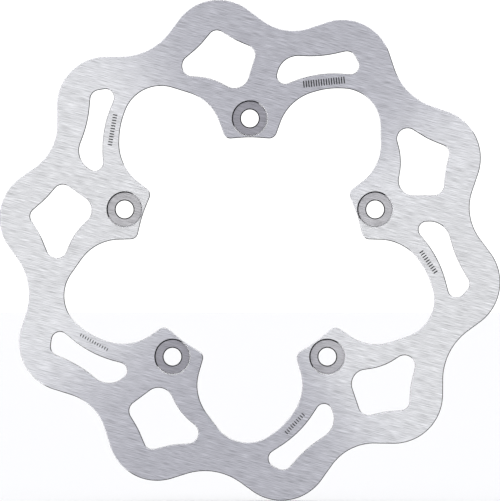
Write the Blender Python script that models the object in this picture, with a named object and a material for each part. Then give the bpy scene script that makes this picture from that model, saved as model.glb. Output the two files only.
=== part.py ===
"""Fixed wave brake disc for a light motorcycle or scooter: one flat plate of ground stainless steel.

The disc stands on edge, as it does on the wheel. The origin is the centre of the plate, the spin
axis is the Y axis, and the first lug points straight up, along +Z. The outer face, which has the
counterbored bolt holes, looks along -Y. The back face, which seats on the wheel hub, looks along +Y.

Sizes are in millimetres and degrees. The finished mesh is then scaled to metres.
"""

from collections import namedtuple
from math import acos, atan2, ceil, cos, hypot, pi, radians, sin

import bmesh
import bpy

MM = 0.001

# Driving dimensions
LUGS = 5
THICKNESS = 4.0
BOLT_CIRCLE_DIAMETER = 125.0
BOLT_HOLE_DIAMETER = 8.4
BOLT_HOLE_CHAMFER = 0.5
COUNTERBORE_DIAMETER = 16.0
COUNTERBORE_DEPTH = 1.0
COUNTERBORE_CHAMFER = 0.6
HUB_SPIGOT_DIAMETER = 107.0
EDGE_BREAK = 0.35

# How the plate sits in its frame
FIRST_LUG_ANGLE = 90.0
FRONT_Y = -THICKNESS / 2

# How finely curves are cut into straight facets
FACET_SAG = 0.05
HOLE_SIDES = 32
SHARP_ANGLE = radians(30)

# Steel
STEEL_COLOUR = (0.56, 0.565, 0.60, 1.0)
STEEL_ROUGHNESS = 0.38

SECTOR = 360.0 / LUGS

# Every outline is a belt pulled round a ring of circular arcs, in counterclockwise order as the front
# face is seen. Each arc has its centre at a reach from the disc's centre and an angle from its lug's
# centre line, and its own radius. The belt runs straight from one arc to the next. It passes outside
# an OUT arc, which makes a lobe or a rounded corner, and inside an IN arc, which makes a dip.
Arc = namedtuple("Arc", "reach angle radius side")
OUT = 1
IN = -1

# The rim has two lobes and two dips for each lug. The dip beside the lug is the deeper one.
RIM = [
    Arc(130.2, -9.1, 24.4, IN),
    Arc(96.6, 8.9, 23.4, OUT),
    Arc(135.2, 26.9, 28.7, IN),
    Arc(96.6, 44.9, 23.4, OUT),
]

# The central opening follows the hub's spigot along each lug's tip, turns the lug's two corners, and
# swells into a wide bay between one lug and the next.
CENTRAL_OPENING = [
    Arc(0.0, 0.0, HUB_SPIGOT_DIAMETER / 2, OUT),
    Arc(57.2, 9.3, 3.5, IN),
    Arc(64.2, 33.4, 22.0, OUT),
    Arc(73.2, 35.2, 18.1, OUT),
    Arc(57.2, 25.1, 37.7, OUT),
    Arc(63.9, 37.5, 23.1, OUT),
    Arc(57.5, 62.9, 3.8, IN),
]

# The four-cornered window outboard of each lug. One of its sides is straight.
LUG_WINDOW = [
    Arc(92.6, 1.5, 4.8, OUT),
    Arc(136.5, -4.9, 40.7, IN),
    Arc(101.4, 8.9, 4.1, OUT),
    Arc(132.5, 22.2, 36.7, IN),
    Arc(91.6, 17.2, 5.0, OUT),
    Arc(59.6, 26.5, 29.1, IN),
    Arc(84.2, 5.0, 6.9, OUT),
]

# The long curved slot between the rim and each bay.
BAY_SLOT = [
    Arc(99.7, -28.6, 4.0, OUT),
    Arc(100.9, -27.1, 4.5, OUT),
    Arc(151.6, -10.9, 56.9, IN),
    Arc(85.3, -15.6, 10.0, OUT),
    Arc(84.4, -11.4, 3.8, OUT),
    Arc(51.2, -51.2, 51.8, IN),
]


def on_sector(arcs, sector):
    """The arcs of one lug's sector, turned into place round the disc."""
    turn = FIRST_LUG_ANGLE + sector * SECTOR
    return [arc._replace(angle=arc.angle + turn) for arc in arcs]


def all_round(arcs):
    """One closed ring of arcs that repeats a sector's arcs at every lug."""
    return [arc for sector in range(LUGS) for arc in on_sector(arcs, sector)]


def centre_of(arc):
    """An arc's centre in the plane of the disc, as (across, up)."""
    return arc.reach * cos(radians(arc.angle)), arc.reach * sin(radians(arc.angle))


def belt_normal(arc, following):
    """The direction, in radians, of the left-hand normal of the straight run between two arcs."""
    (x, y), (next_x, next_y) = centre_of(arc), centre_of(following)
    span = hypot(next_x - x, next_y - y)
    step = following.side * following.radius - arc.side * arc.radius
    return atan2(next_y - y, next_x - x) + acos(step / span)


def belt(arcs, swell):
    """The points of the closed outline round the arcs, as (across, up), swollen outwards by a margin.

    Outlines with different margins have the same number of points, in the same order.
    """
    normals = [belt_normal(arc, arcs[(i + 1) % len(arcs)]) for i, arc in enumerate(arcs)]
    points = []
    for i, arc in enumerate(arcs):
        x, y = centre_of(arc)
        start = normals[i - 1]
        sweep = (normals[i] - start) % (2 * pi)
        if arc.side == IN:
            sweep -= 2 * pi
        facets = ceil(abs(sweep) / (2 * acos(1 - FACET_SAG / arc.radius)))
        bulge = arc.side * arc.radius + swell
        for k in range(facets + 1):
            angle = start + sweep * k / facets
            points.append((x - bulge * cos(angle), y - bulge * sin(angle)))
    return points


def circle(diameter, sector):
    """A round outline centred on a lug's bolt hole, as (across, up)."""
    x, y = centre_of(Arc(BOLT_CIRCLE_DIAMETER / 2, FIRST_LUG_ANGLE + sector * SECTOR, 0, OUT))
    angles = [2 * pi * k / HOLE_SIDES for k in range(HOLE_SIDES)]
    return [(x + diameter / 2 * cos(a), y + diameter / 2 * sin(a)) for a in angles]


def add_ring(mesh, outline, depth):
    """Vertices along an outline, at a depth behind the front face."""
    y = FRONT_Y + depth
    return [mesh.verts.new((across, y, up)) for across, up in outline]


def add_wall(mesh, ring, other):
    """Quads between two rings that have the same number of vertices."""
    for i in range(len(ring)):
        mesh.faces.new((ring[i - 1], ring[i], other[i], other[i - 1]))


def add_face(mesh, rings):
    """One flat face of the plate, bounded by the rim's ring and pierced by all the others."""
    edges = [mesh.edges.get((ring[i - 1], ring[i])) for ring in rings for i in range(len(ring))]
    bmesh.ops.triangle_fill(mesh, edges=edges, use_beauty=True)


def add_walls(mesh, outlines_and_depths):
    """The walls through a stack of outlines. Returns the ring in the front face and that in the back."""
    rings = [add_ring(mesh, outline, depth) for outline, depth in outlines_and_depths]
    for ring, deeper in zip(rings, rings[1:]):
        add_wall(mesh, ring, deeper)
    return rings[0], rings[-1]


def add_profile_cut(mesh, arcs, edge_swell):
    """A wall straight through the plate, with both of its edges broken."""
    edge = belt(arcs, edge_swell)
    wall = belt(arcs, 0.0)
    return add_walls(mesh, [
        (edge, 0.0),
        (wall, EDGE_BREAK),
        (wall, THICKNESS - EDGE_BREAK),
        (edge, THICKNESS),
    ])


def add_bolt_hole(mesh, sector):
    """A counterbored hole, chamfered at the counterbore's mouth and at both ends of the hole."""
    mouth = circle(COUNTERBORE_DIAMETER + 2 * COUNTERBORE_CHAMFER, sector)
    counterbore = circle(COUNTERBORE_DIAMETER, sector)
    hole_edge = circle(BOLT_HOLE_DIAMETER + 2 * BOLT_HOLE_CHAMFER, sector)
    hole = circle(BOLT_HOLE_DIAMETER, sector)
    return add_walls(mesh, [
        (mouth, 0.0),
        (counterbore, COUNTERBORE_CHAMFER),
        (counterbore, COUNTERBORE_DEPTH),
        (hole_edge, COUNTERBORE_DEPTH),
        (hole, COUNTERBORE_DEPTH + BOLT_HOLE_CHAMFER),
        (hole, THICKNESS - BOLT_HOLE_CHAMFER),
        (hole_edge, THICKNESS),
    ])


def disc_mesh():
    """The whole plate as one closed mesh."""
    mesh = bmesh.new()
    cuts = [
        add_profile_cut(mesh, all_round(RIM), -EDGE_BREAK),
        add_profile_cut(mesh, all_round(CENTRAL_OPENING), EDGE_BREAK),
    ]
    for sector in range(LUGS):
        cuts.append(add_profile_cut(mesh, on_sector(LUG_WINDOW, sector), EDGE_BREAK))
        cuts.append(add_profile_cut(mesh, on_sector(BAY_SLOT, sector), EDGE_BREAK))
        cuts.append(add_bolt_hole(mesh, sector))
    add_face(mesh, [front for front, back in cuts])
    add_face(mesh, [back for front, back in cuts])
    bmesh.ops.recalc_face_normals(mesh, faces=mesh.faces)
    bmesh.ops.scale(mesh, vec=(MM, MM, MM), verts=mesh.verts)
    data = bpy.data.meshes.new("brake_disc")
    mesh.to_mesh(data)
    mesh.free()
    data.shade_smooth()
    data.set_sharp_from_angle(angle=SHARP_ANGLE)
    return data


def steel():
    """Ground stainless steel."""
    material = bpy.data.materials.new("ground_steel")
    material.use_nodes = True
    shader = material.node_tree.nodes["Principled BSDF"]
    shader.inputs["Base Color"].default_value = STEEL_COLOUR
    shader.inputs["Roughness"].default_value = STEEL_ROUGHNESS
    shader.inputs["Metallic"].default_value = 1.0
    return material


def main():
    for old in list(bpy.data.objects):
        bpy.data.objects.remove(old)
    data = disc_mesh()
    data.materials.append(steel())
    disc = bpy.data.objects.new("brake_disc", data)
    bpy.context.scene.collection.objects.link(disc)


main()
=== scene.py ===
"""Looks of a wave brake disc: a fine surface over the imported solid, its steel finishes, and a plain studio.

The disc stands on edge in the frame. Its spin axis is Y, its outer face looks along -Y and its first
lug points up. Outlines are drawn as (across, up) in millimetres, as the outer face is seen, and the
finished mesh is scaled to metres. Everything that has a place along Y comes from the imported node's box.
"""

from collections import namedtuple
from math import acos, atan2, ceil, cos, hypot, pi, radians, sin

import bmesh
import bpy
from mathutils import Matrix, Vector
from mathutils.geometry import delaunay_2d_cdt


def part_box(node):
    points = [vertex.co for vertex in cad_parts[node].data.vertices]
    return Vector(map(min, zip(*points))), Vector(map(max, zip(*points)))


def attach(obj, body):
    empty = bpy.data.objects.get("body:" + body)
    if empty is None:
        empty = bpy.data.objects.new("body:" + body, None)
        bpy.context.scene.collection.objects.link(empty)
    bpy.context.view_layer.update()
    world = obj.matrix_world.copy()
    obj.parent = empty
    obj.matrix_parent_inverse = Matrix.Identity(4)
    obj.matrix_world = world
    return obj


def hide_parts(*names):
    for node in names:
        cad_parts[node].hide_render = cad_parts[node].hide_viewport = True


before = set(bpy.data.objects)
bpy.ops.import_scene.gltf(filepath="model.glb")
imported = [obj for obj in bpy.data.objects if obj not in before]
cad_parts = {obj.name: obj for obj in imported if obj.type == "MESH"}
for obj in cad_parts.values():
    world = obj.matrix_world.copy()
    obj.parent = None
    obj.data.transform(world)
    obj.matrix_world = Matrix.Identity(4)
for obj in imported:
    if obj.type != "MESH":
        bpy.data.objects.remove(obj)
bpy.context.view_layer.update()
disc_low, disc_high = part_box("brake_disc")

MM = 0.001
FRONT_Y = disc_low.y / MM
THICKNESS = (disc_high.y - disc_low.y) / MM

# The plate, as part.py has it
LUGS = 5
SECTOR = 360.0 / LUGS
FIRST_LUG_ANGLE = 90.0
BOLT_CIRCLE_DIAMETER = 125.0
BOLT_HOLE_DIAMETER = 8.4
BOLT_HOLE_CHAMFER = 0.5
COUNTERBORE_DIAMETER = 16.0
COUNTERBORE_DEPTH = 1.0
COUNTERBORE_CHAMFER = 0.6
HUB_SPIGOT_DIAMETER = 107.0
EDGE_BREAK = 0.35

# How finely curves are cut into straight facets
FACET_SAG = 0.004
HOLE_SIDES = 128
TICK_END_FACETS = 6
SHARP_ANGLE = radians(30)

# delaunay_2d_cdt's fill of the regions inside the outlines, with holes left open, and its merge distance
INSIDE_WITH_HOLES = 2
MERGE_DISTANCE = 1e-6

# The marks are rows of plain ticks, engraved on the land between each slot and its bay. A row's centre
# is at a reach from the disc's centre and an angle from its lug's centre line. Its slope is how far the
# row turns from square to that line. The other sizes are the row's length, a tick's height, the pitch
# from one tick to the next, and a tick's width.
TICK_DEPTH = 0.08
Mark = namedtuple("Mark", "reach angle slope length height pitch width")
MARKS = [
    Mark(87.1, -23.8, 6.0, 20.4, 3.3, 1.2, 0.60),
    Mark(86.6, -23.2, 8.0, 15.4, 2.2, 1.3, 0.55),
    Mark(85.9, -23.4, 7.0, 15.4, 1.5, 1.3, 0.45),
    Mark(85.0, -21.5, 11.0, 13.2, 2.0, 1.3, 0.50),
    Mark(84.9, -21.8, 17.0, 12.8, 2.3, 1.3, 0.55),
]

# Every outline is a belt pulled round a ring of circular arcs, counterclockwise. It passes outside an
# OUT arc, inside an IN arc, and runs straight from one arc to the next. An arc's centre is at a reach
# from the disc's centre and an angle from its lug's centre line.
Arc = namedtuple("Arc", "reach angle radius side")
OUT = 1
IN = -1

RIM = [
    Arc(130.2, -9.1, 24.4, IN),
    Arc(96.6, 8.9, 23.4, OUT),
    Arc(135.2, 26.9, 28.7, IN),
    Arc(96.6, 44.9, 23.4, OUT),
]
CENTRAL_OPENING = [
    Arc(0.0, 0.0, HUB_SPIGOT_DIAMETER / 2, OUT),
    Arc(57.2, 9.3, 3.5, IN),
    Arc(64.2, 33.4, 22.0, OUT),
    Arc(73.2, 35.2, 18.1, OUT),
    Arc(57.2, 25.1, 37.7, OUT),
    Arc(63.9, 37.5, 23.1, OUT),
    Arc(57.5, 62.9, 3.8, IN),
]
LUG_WINDOW = [
    Arc(92.6, 1.5, 4.8, OUT),
    Arc(136.5, -4.9, 40.7, IN),
    Arc(101.4, 8.9, 4.1, OUT),
    Arc(132.5, 22.2, 36.7, IN),
    Arc(91.6, 17.2, 5.0, OUT),
    Arc(59.6, 26.5, 29.1, IN),
    Arc(84.2, 5.0, 6.9, OUT),
]
BAY_SLOT = [
    Arc(99.7, -28.6, 4.0, OUT),
    Arc(100.9, -27.1, 4.5, OUT),
    Arc(151.6, -10.9, 56.9, IN),
    Arc(85.3, -15.6, 10.0, OUT),
    Arc(84.4, -11.4, 3.8, OUT),
    Arc(51.2, -51.2, 51.8, IN),
]

# Steel finishes, in the order of the mesh's material slots
GROUND, BROKEN_EDGE, CUT_EDGE, COUNTERBORE, MARK = range(5)

# The ground faces have straight scratches, which run down to the right as the outer face is seen, and
# faint clouds. A pattern's size is that of its features along X, Y and Z, in metres. Heights are in
# metres too. A tint is how far a pattern takes the colour's brightness above or below the plain one.
FACE_COLOUR = (0.70, 0.70, 0.707)
# The counterbore's colour is darker than the face's: painted shade for the recessed floor.
COUNTERBORE_SHADED_COLOUR = (0.50, 0.492, 0.503)
GRAIN_SLOPE = radians(14)
NOISE_ROUGHNESS = 0.55
FINE_SCRATCH_SIZE = (0.006, 0.001, 0.0002)
FINE_SCRATCH_STRENGTH = 0.85
LONG_SCRATCH_SIZE = (0.018, 0.001, 0.0004)
LONG_SCRATCH_STRENGTH = 0.5
CLOUD_SIZE = (0.05, 0.01, 0.008)
CLOUD_TINT = 0.015
GRAIN_TINT = 0.38
GRAIN_HEIGHT = 0.000002
GRAIN_ROUGHNESS_LOW = 0.34
GRAIN_ROUGHNESS_HIGH = 0.42
ANISOTROPY = 0.95
QUARTER_TURN = 0.25

# The edges have fine drag lines straight through the plate, and stains
EdgeFinish = namedtuple("EdgeFinish", "name colour tint roughness line_height")
# The broken edges' near-black colour is painted shade: the strip lights lift it on the upper left edges, and
# the other edges stay dark.
BROKEN_EDGE_SHADED_FINISH = EdgeFinish("broken_edge_painted_shade_steel", (0.045, 0.045, 0.047), 0.08, 0.18, 0.0000005)
CUT_EDGE_FINISH = EdgeFinish("cut_edge_steel", (0.17, 0.17, 0.174), 0.25, 0.7, 0.00002)
DRAG_LINE_SIZE = (0.00035, 0.008, 0.00035)
STAIN_SIZE = (0.004, 0.002, 0.004)
LINE_ROUGHNESS_CHANGE = 0.04

# The marks are burnt dark and speckled
MARK_COLOUR = (0.02, 0.02, 0.021)
MARK_ROUGHNESS = 0.6
SPECKLE_SIZE = (0.0002, 0.0002, 0.0002)
SPECKLE_TINT = 0.3
SPECKLE_HEIGHT = 0.00001

# The camera stands far off. The disc sits a hair to the left of and above the middle of its view.
CAMERA_LENS = 1000.0
CAMERA_SENSOR = 36.0
CAMERA_OFFSET = Vector((0.00006, 0.0, -0.00017))
CLIP_START = 0.1
CLIP_END = 100.0

# Strip lights stand in an arc round the disc, just in front of its plane, and light its upper left
# edges. Their angles, in degrees, go counterclockwise from +X.
STRIP_ANGLES = (52, 93, 134, 175, 216)
STRIP_REACH = 0.6
STRIP_Y = -0.02
STRIP_LENGTH = 0.45
STRIP_WIDTH = 0.05
STRIP_POWER = 2.8

# The light in front of the disc is dim in line with its axis, above and below, and has a bright patch on
# each side, the left one higher than the right one. How far to the side a direction is comes from
# weighing the squares of its parts. A patch is brightest at SIDE_PEAK and has ended at SIDE_END. Front
# and back blend into each other over a narrow band of directions along Y.
SIDE_SLOPE = radians(12)
SIDE_WEIGHTS = (1.0, 0.0, -0.65)
SIDE_PEAK = 0.17
SIDE_END = 0.32
BACK_BLEND = 0.1
FRONT_DIM = (0.668, 0.67, 0.742, 1.0)
FRONT_BRIGHT = (2.10, 2.13, 2.12, 1.0)
FRONT_SIDE = (0.85, 0.85, 0.85, 1.0)
BACK_WHITE = (1.25, 1.25, 1.25, 1.0)

# The floor is pale and matt, and far wider than the camera's view of it
FLOOR_SIZE = 40.0
FLOOR_COLOUR = (0.92, 0.92, 0.92, 1.0)
FLOOR_ROUGHNESS = 0.9


# Outlines -------------------------------------------------------------------------------------------

def on_sector(arcs, sector):
    """The arcs of one lug's sector, turned into place round the disc."""
    turn = FIRST_LUG_ANGLE + sector * SECTOR
    return [arc._replace(angle=arc.angle + turn) for arc in arcs]


def all_round(arcs):
    """One closed ring of arcs that repeats a sector's arcs at every lug."""
    return [arc for sector in range(LUGS) for arc in on_sector(arcs, sector)]


def from_polar(reach, angle):
    """A point in the plane of the disc, as (across, up), from a reach and an angle in degrees."""
    return reach * cos(radians(angle)), reach * sin(radians(angle))


def belt_normal(arc, following):
    """The direction, in radians, of the left-hand normal of the straight run between two arcs."""
    x, y = from_polar(arc.reach, arc.angle)
    next_x, next_y = from_polar(following.reach, following.angle)
    span = hypot(next_x - x, next_y - y)
    step = following.side * following.radius - arc.side * arc.radius
    return atan2(next_y - y, next_x - x) + acos(step / span)


def belt(arcs, swell):
    """The points of the closed outline round the arcs, as (across, up), swollen outwards by a margin.

    Outlines with different margins have the same number of points, in the same order.
    """
    normals = [belt_normal(arc, arcs[(i + 1) % len(arcs)]) for i, arc in enumerate(arcs)]
    points = []
    for i, arc in enumerate(arcs):
        x, y = from_polar(arc.reach, arc.angle)
        start = normals[i - 1]
        sweep = (normals[i] - start) % (2 * pi)
        if arc.side == IN:
            sweep -= 2 * pi
        facets = ceil(abs(sweep) / (2 * acos(1 - FACET_SAG / arc.radius)))
        bulge = arc.side * arc.radius + swell
        for k in range(facets + 1):
            angle = start + sweep * k / facets
            points.append((x - bulge * cos(angle), y - bulge * sin(angle)))
    return points


def circle(diameter, sector):
    """A round outline centred on a lug's bolt hole, as (across, up)."""
    x, y = from_polar(BOLT_CIRCLE_DIAMETER / 2, FIRST_LUG_ANGLE + sector * SECTOR)
    angles = [2 * pi * k / HOLE_SIDES for k in range(HOLE_SIDES)]
    return [(x + diameter / 2 * cos(a), y + diameter / 2 * sin(a)) for a in angles]


def tick(x, y, lean, height, width):
    """The outline of one round-ended tick, whose length leans counterclockwise from across to up."""
    points = []
    for end in (0, 1):
        end_x = x + (height - width) / 2 * cos(lean + end * pi)
        end_y = y + (height - width) / 2 * sin(lean + end * pi)
        for k in range(TICK_END_FACETS + 1):
            turn = lean + pi * (end + k / TICK_END_FACETS - 0.5)
            points.append((end_x + width / 2 * cos(turn), end_y + width / 2 * sin(turn)))
    return points


def tick_row(sector):
    """The outlines of the ticks of one lug's mark."""
    mark = MARKS[sector]
    x, y = from_polar(mark.reach, FIRST_LUG_ANGLE + sector * SECTOR + mark.angle)
    along = radians(sector * SECTOR + mark.slope)
    count = round(mark.length / mark.pitch)
    ticks = []
    for k in range(count):
        step = mark.pitch * (k - (count - 1) / 2)
        tick_x = x + step * cos(along)
        tick_y = y + step * sin(along)
        ticks.append(tick(tick_x, tick_y, along + pi / 2, mark.height, mark.width))
    return ticks


# Mesh -----------------------------------------------------------------------------------------------

def add_ring(mesh, outline, depth):
    """Vertices along an outline, at a depth behind the front face."""
    y = FRONT_Y + depth
    return [mesh.verts.new((across, y, up)) for across, up in outline]


def add_wall(mesh, ring, other, finish):
    """Quads between two rings that have the same number of vertices."""
    for i in range(len(ring)):
        face = mesh.faces.new((ring[i - 1], ring[i], other[i], other[i - 1]))
        face.material_index = finish


def add_face(mesh, rings, finish):
    """One flat face of the plate, bounded by the rim's ring and pierced by all the others."""
    corners = [vert for ring in rings for vert in ring]
    outlines = []
    for ring in rings:
        start = outlines[-1][-1] + 1 if outlines else 0
        outlines.append(list(range(start, start + len(ring))))
    places = [Vector((vert.co.x, vert.co.z)) for vert in corners]
    triangles = delaunay_2d_cdt(places, [], outlines, INSIDE_WITH_HOLES, MERGE_DISTANCE)[2]
    for triangle in triangles:
        face = mesh.faces.new([corners[i] for i in triangle])
        face.material_index = finish


def add_walls(mesh, levels):
    """The walls through a stack of (outline, depth, finish of the wall below it).

    Returns the ring in the first level and that in the last.
    """
    rings = [add_ring(mesh, outline, depth) for outline, depth, finish in levels]
    for i in range(len(levels) - 1):
        add_wall(mesh, rings[i], rings[i + 1], levels[i][2])
    return rings[0], rings[-1]


def add_profile_cut(mesh, arcs, edge_swell):
    """A wall straight through the plate, with both of its edges broken."""
    edge = belt(arcs, edge_swell)
    wall = belt(arcs, 0.0)
    return add_walls(mesh, [
        (edge, 0.0, BROKEN_EDGE),
        (wall, EDGE_BREAK, CUT_EDGE),
        (wall, THICKNESS - EDGE_BREAK, BROKEN_EDGE),
        (edge, THICKNESS, BROKEN_EDGE),
    ])


def add_bolt_hole(mesh, sector):
    """A counterbored hole, chamfered at the counterbore's mouth and at both ends of the hole."""
    mouth = circle(COUNTERBORE_DIAMETER + 2 * COUNTERBORE_CHAMFER, sector)
    counterbore = circle(COUNTERBORE_DIAMETER, sector)
    hole_edge = circle(BOLT_HOLE_DIAMETER + 2 * BOLT_HOLE_CHAMFER, sector)
    hole = circle(BOLT_HOLE_DIAMETER, sector)
    return add_walls(mesh, [
        (mouth, 0.0, BROKEN_EDGE),
        (counterbore, COUNTERBORE_CHAMFER, BROKEN_EDGE),
        (counterbore, COUNTERBORE_DEPTH, COUNTERBORE),
        (hole_edge, COUNTERBORE_DEPTH, BROKEN_EDGE),
        (hole, COUNTERBORE_DEPTH + BOLT_HOLE_CHAMFER, CUT_EDGE),
        (hole, THICKNESS - BOLT_HOLE_CHAMFER, BROKEN_EDGE),
        (hole_edge, THICKNESS, BROKEN_EDGE),
    ])


def add_mark(mesh, sector):
    """One lug's row of engraved ticks. Returns their rings in the front face."""
    mouths = []
    for outline in tick_row(sector):
        mouth, floor = add_walls(mesh, [(outline, 0.0, MARK), (outline, TICK_DEPTH, MARK)])
        mesh.faces.new(floor).material_index = MARK
        mouths.append(mouth)
    return mouths


def disc_mesh():
    """The whole plate as one closed mesh, in metres."""
    mesh = bmesh.new()
    cuts = [
        add_profile_cut(mesh, all_round(RIM), -EDGE_BREAK),
        add_profile_cut(mesh, all_round(CENTRAL_OPENING), EDGE_BREAK),
    ]
    marks = []
    for sector in range(LUGS):
        cuts.append(add_profile_cut(mesh, on_sector(LUG_WINDOW, sector), EDGE_BREAK))
        cuts.append(add_profile_cut(mesh, on_sector(BAY_SLOT, sector), EDGE_BREAK))
        cuts.append(add_bolt_hole(mesh, sector))
        marks += add_mark(mesh, sector)
    add_face(mesh, [front for front, back in cuts] + marks, GROUND)
    add_face(mesh, [back for front, back in cuts], GROUND)
    bmesh.ops.recalc_face_normals(mesh, faces=mesh.faces)
    bmesh.ops.scale(mesh, vec=(MM, MM, MM), verts=mesh.verts)
    data = bpy.data.meshes.new("wave_disc")
    mesh.to_mesh(data)
    mesh.free()
    data.shade_smooth()
    data.set_sharp_from_angle(angle=SHARP_ANGLE)
    return data


# Materials ------------------------------------------------------------------------------------------

def new_material(name):
    """A material with nodes, and its shader."""
    material = bpy.data.materials.new(name)
    material.use_nodes = True
    return material, material.node_tree.nodes["Principled BSDF"]


def add_node(owner, kind, **settings):
    """A node of a material or world, with its settings and inputs.

    An input is named by its label, with spaces as underscores.
    """
    node = owner.node_tree.nodes.new(kind)
    for key, value in settings.items():
        label = key.replace("_", " ")
        if label in node.inputs:
            node.inputs[label].default_value = value
        else:
            setattr(node, key, value)
    return node


def link(owner, source, target):
    owner.node_tree.links.new(source, target)


def noise(material, size, slope=0.0, detail=2.0):
    """Noise between 0 and 1 whose features have the given size in metres along X, Y and Z."""
    place = add_node(material, "ShaderNodeTexCoord").outputs["Object"]
    mapping = add_node(material, "ShaderNodeMapping", vector_type="TEXTURE", Scale=size)
    mapping.inputs["Rotation"].default_value = (0.0, slope, 0.0)
    link(material, place, mapping.inputs["Vector"])
    texture = add_node(material, "ShaderNodeTexNoise", Scale=1.0, Detail=detail)
    texture.inputs["Roughness"].default_value = NOISE_ROUGHNESS
    link(material, mapping.outputs["Vector"], texture.inputs["Vector"])
    return texture.outputs["Fac"]


def remap(owner, value, low, high, centre=0.5, spread=0.25):
    """Maps a value within spread of centre, as most noise is, onto low to high."""
    node = add_node(owner, "ShaderNodeMapRange", To_Min=low, To_Max=high)
    node.inputs["From Min"].default_value = centre - spread
    node.inputs["From Max"].default_value = centre + spread
    link(owner, value, node.inputs["Value"])
    return node.outputs["Result"]


def combine(material, operation, first, second):
    """One value from two, each a socket or a number."""
    node = add_node(material, "ShaderNodeMath", operation=operation)
    for socket, value in zip(node.inputs, (first, second)):
        if isinstance(value, bpy.types.NodeSocket):
            link(material, value, socket)
        else:
            socket.default_value = value
    return node.outputs["Value"]


def colour_by(material, shader, colour, tone):
    """Gives the shader a colour multiplied by a varying tone."""
    node = add_node(material, "ShaderNodeVectorMath", operation="SCALE")
    node.inputs[0].default_value = colour
    link(material, tone, node.inputs["Scale"])
    link(material, node.outputs["Vector"], shader.inputs["Base Color"])


def raise_by(material, shader, pattern, height):
    """Raises the shader's surface by a pattern whose full height is in metres."""
    bump = add_node(material, "ShaderNodeBump", Distance=height, Strength=1.0)
    link(material, pattern, bump.inputs["Height"])
    link(material, bump.outputs["Normal"], shader.inputs["Normal"])


def ground_noise(material, size, detail):
    """Noise that lies along the grind's grain."""
    return noise(material, size, GRAIN_SLOPE, detail)


def ground_steel(name, colour):
    """Steel ground flat, with straight scratches. It reflects as a face ground round the axis does."""
    material, shader = new_material(name)
    fine = remap(material, ground_noise(material, FINE_SCRATCH_SIZE, 1.0),
                 -FINE_SCRATCH_STRENGTH, FINE_SCRATCH_STRENGTH)
    long = remap(material, ground_noise(material, LONG_SCRATCH_SIZE, 2.0),
                 -LONG_SCRATCH_STRENGTH, LONG_SCRATCH_STRENGTH)
    grain = combine(material, "ADD", fine, long)
    clouds = remap(material, ground_noise(material, CLOUD_SIZE, 1.0), 1 - CLOUD_TINT, 1 + CLOUD_TINT)
    tone = combine(material, "ADD", combine(material, "MULTIPLY", grain, GRAIN_TINT), clouds)
    colour_by(material, shader, colour, tone)
    roughness = remap(material, grain, GRAIN_ROUGHNESS_HIGH, GRAIN_ROUGHNESS_LOW, centre=0.0, spread=1.0)
    link(material, roughness, shader.inputs["Roughness"])
    raise_by(material, shader, grain, GRAIN_HEIGHT)
    tangent = add_node(material, "ShaderNodeTangent", direction_type="RADIAL", axis="Y")
    link(material, tangent.outputs["Tangent"], shader.inputs["Tangent"])
    shader.inputs["Metallic"].default_value = 1.0
    shader.inputs["Anisotropic"].default_value = ANISOTROPY
    shader.inputs["Anisotropic Rotation"].default_value = QUARTER_TURN
    return material


def edge_steel(finish):
    """Steel that a tool has cut or broken. For the broken edges, its near-black colour is painted shade."""
    material, shader = new_material(finish.name)
    lines = noise(material, DRAG_LINE_SIZE, detail=3.0)
    streaks = remap(material, lines, 1 - finish.tint, 1 + finish.tint)
    stain = remap(material, noise(material, STAIN_SIZE), -finish.tint / 2, finish.tint / 2)
    colour_by(material, shader, finish.colour, combine(material, "ADD", streaks, stain))
    roughness = remap(material, lines, finish.roughness - LINE_ROUGHNESS_CHANGE,
                      finish.roughness + LINE_ROUGHNESS_CHANGE)
    link(material, roughness, shader.inputs["Roughness"])
    raise_by(material, shader, lines, finish.line_height)
    shader.inputs["Metallic"].default_value = 1.0
    return material


def mark_steel(name):
    """The burnt floor of a laser-engraved mark."""
    material, shader = new_material(name)
    speckle = noise(material, SPECKLE_SIZE)
    colour_by(material, shader, MARK_COLOUR, remap(material, speckle, 1 - SPECKLE_TINT, 1 + SPECKLE_TINT))
    raise_by(material, shader, speckle, SPECKLE_HEIGHT)
    shader.inputs["Roughness"].default_value = MARK_ROUGHNESS
    return material


# Studio ---------------------------------------------------------------------------------------------

def make_floor():
    """The plain floor that the disc stands on. It is left out of the steel's reflections."""
    bpy.ops.mesh.primitive_plane_add(size=FLOOR_SIZE, location=(0.0, 0.0, disc_low.z))
    floor = bpy.context.object
    floor.name = "floor"
    material, shader = new_material("pale_floor")
    shader.inputs["Base Color"].default_value = FLOOR_COLOUR
    shader.inputs["Roughness"].default_value = FLOOR_ROUGHNESS
    floor.data.materials.append(material)
    floor.visible_glossy = False


def make_camera():
    """A long lens square to the outer face. The disc fills the view from top to bottom."""
    camera = bpy.data.objects.new("camera", bpy.data.cameras.new("camera"))
    bpy.context.scene.collection.objects.link(camera)
    camera.data.lens = CAMERA_LENS
    camera.data.sensor_width = CAMERA_SENSOR
    camera.data.clip_start = CLIP_START
    camera.data.clip_end = CLIP_END
    distance = (disc_high.z - disc_low.z) * CAMERA_LENS / CAMERA_SENSOR
    middle = (disc_low + disc_high) / 2
    camera.location = Vector((middle.x, disc_low.y - distance, middle.z)) + CAMERA_OFFSET
    camera.rotation_euler = (pi / 2, 0.0, 0.0)
    bpy.context.scene.camera = camera


def make_strip(angle, disc_only):
    """A strip light that faces the disc's axis. It lights the disc and nothing else."""
    light = bpy.data.lights.new("strip_light", "AREA")
    light.shape = "RECTANGLE"
    light.size = STRIP_LENGTH
    light.size_y = STRIP_WIDTH
    light.energy = STRIP_POWER
    strip = bpy.data.objects.new("strip_light", light)
    bpy.context.scene.collection.objects.link(strip)
    strip.location = (STRIP_REACH * cos(angle), STRIP_Y, STRIP_REACH * sin(angle))
    strip.rotation_euler = (0.0, pi / 2 - angle, 0.0)
    strip.visible_camera = False
    strip.light_linking.receiver_collection = disc_only
    strip.light_linking.blocker_collection = disc_only


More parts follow.
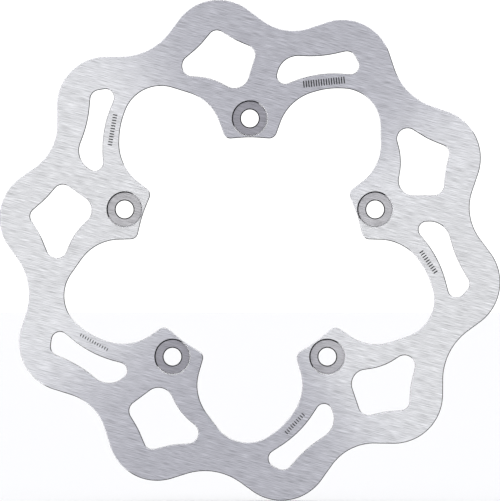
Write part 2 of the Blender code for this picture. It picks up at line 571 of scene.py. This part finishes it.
def make_world():
    """A white studio: plain white behind the disc, and brighter at both sides in front of it."""
    world = bpy.data.worlds.new("studio")
    world.use_nodes = True
    bpy.context.scene.world = world
    direction = add_node(world, "ShaderNodeTexCoord").outputs["Generated"]
    turn = add_node(world, "ShaderNodeMapping", Rotation=(0.0, -SIDE_SLOPE, 0.0))
    link(world, direction, turn.inputs["Vector"])
    squares = add_node(world, "ShaderNodeVectorMath", operation="MULTIPLY")
    link(world, turn.outputs["Vector"], squares.inputs[0])
    link(world, turn.outputs["Vector"], squares.inputs[1])
    side = add_node(world, "ShaderNodeVectorMath", operation="DOT_PRODUCT")
    link(world, squares.outputs["Vector"], side.inputs[0])
    side.inputs[1].default_value = SIDE_WEIGHTS
    front = add_node(world, "ShaderNodeValToRGB")
    link(world, side.outputs["Value"], front.inputs["Fac"])
    stops = front.color_ramp.elements
    stops[0].color = FRONT_DIM
    stops[1].position = SIDE_PEAK
    stops[1].color = FRONT_BRIGHT
    stops.new(SIDE_END).color = FRONT_SIDE
    parts = add_node(world, "ShaderNodeSeparateXYZ")
    link(world, direction, parts.inputs["Vector"])
    behind = remap(world, parts.outputs["Y"], 0.0, 1.0, centre=0.0, spread=BACK_BLEND)
    mix = add_node(world, "ShaderNodeMix", data_type="RGBA")
    first, second = [socket for socket in mix.inputs if socket.type == "RGBA"]
    link(world, behind, mix.inputs["Factor"])
    link(world, front.outputs["Color"], first)
    second.default_value = BACK_WHITE
    blend = next(socket for socket in mix.outputs if socket.type == "RGBA")
    link(world, blend, world.node_tree.nodes["Background"].inputs["Color"])


def make_studio(disc):
    """The floor, camera and lights round the disc."""
    make_floor()
    make_camera()
    make_world()
    disc_only = bpy.data.collections.new("disc_only")
    disc_only.objects.link(disc)
    for angle in STRIP_ANGLES:
        make_strip(radians(angle), disc_only)
    bpy.context.scene.view_settings.view_transform = "Standard"


# Build ----------------------------------------------------------------------------------------------

def make_disc():
    """The one visible piece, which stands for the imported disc."""
    data = disc_mesh()
    data.materials.append(ground_steel("ground_steel", FACE_COLOUR))
    # The broken edges' near-black colour is painted shade.
    data.materials.append(edge_steel(BROKEN_EDGE_SHADED_FINISH))
    data.materials.append(edge_steel(CUT_EDGE_FINISH))
    # The counterbore's darker colour is painted shade.
    data.materials.append(ground_steel("counterbore_painted_shade_steel", COUNTERBORE_SHADED_COLOUR))
    data.materials.append(mark_steel("mark_steel"))
    disc = bpy.data.objects.new("wave_disc", data)
    bpy.context.scene.collection.objects.link(disc)
    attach(disc, "root")
    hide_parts("brake_disc")
    return disc


make_studio(make_disc())
